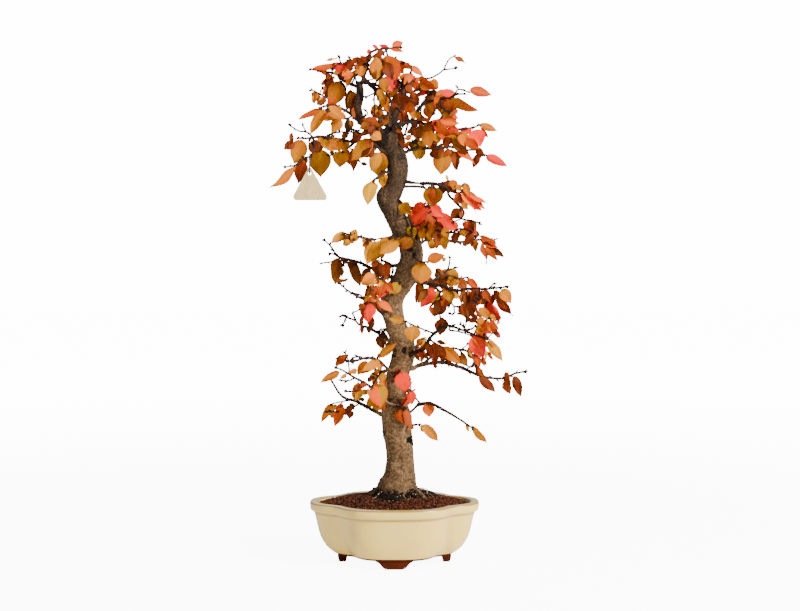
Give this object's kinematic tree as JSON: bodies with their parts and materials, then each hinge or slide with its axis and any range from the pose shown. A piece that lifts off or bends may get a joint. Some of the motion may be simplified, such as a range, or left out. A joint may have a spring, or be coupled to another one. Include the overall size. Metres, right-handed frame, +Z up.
{
  "type": "bonsai_tree",
  "caption": "Korean hornbeam bonsai with a winding trunk, sparse red, orange and ochre autumn leaves and a small bare wooden tag, in a lobed cream pot on low feet",
  "frame": {"origin": "under the middle of the whole tree, on the plane of the pot's feet", "axes": "+Z up along the trunk, -Y towards the viewer of the tree's front, +X along the pot's length"},
  "size_m": [0.334, 0.1808, 0.667],
  "materials": {
    "glaze": "glossy",
    "mesh": "matte",
    "soil": "matte",
    "humus": "matte",
    "bark": "matte",
    "foliage": "satin",
    "tag_wood": "matte",
    "cord": "matte"
  },
  "bodies": {
    "root": {"pot": "glaze", "drain_screen_left": "mesh", "drain_screen_right": "mesh", "soil": "soil", "root_soil": "humus", "trunk": "bark", "tag": "tag_wood", "tag_cord": "cord", "spray_tip": "foliage", "spray_tip_front": "foliage", "spray_crown_left": "foliage", "spray_crown_low": "foliage", "spray_left_arm": "foliage", "spray_left_hanging": "foliage", "spray_left_shoulder": "foliage", "spray_left_upper": "foliage", "spray_crown_middle": "foliage", "spray_right_fork_high": "foliage", "spray_right_fork_low": "foliage", "spray_right_high": "foliage", "spray_right_mid": "foliage", "spray_right_hanging": "foliage", "spray_right_small": "foliage", "spray_right_long": "foliage", "spray_right_knot": "foliage", "spray_front_knot": "foliage", "spray_right_fork": "foliage", "spray_right_fork_up": "foliage", "spray_right_fork_hanging": "foliage", "spray_right_low": "foliage", "spray_right_low_small": "foliage", "spray_right_low_long": "foliage", "spray_right_base": "foliage", "spray_right_base_small": "foliage", "spray_front_base": "foliage", "spray_left_base": "foliage", "spray_left_low_front": "foliage", "spray_left_low": "foliage", "spray_front_low": "foliage", "spray_left_mid_low": "foliage", "spray_left_mid": "foliage", "spray_left_front": "foliage", "spray_left_high": "foliage", "spray_left_brown": "foliage", "spray_left_top": "foliage", "spray_front_top": "foliage", "back_spray_1": "foliage", "back_spray_2": "foliage", "back_spray_3": "foliage", "back_spray_4": "foliage", "back_spray_5": "foliage", "back_spray_6": "foliage", "back_spray_7": "foliage", "back_spray_8": "foliage"}
  },
  "joints": []
}
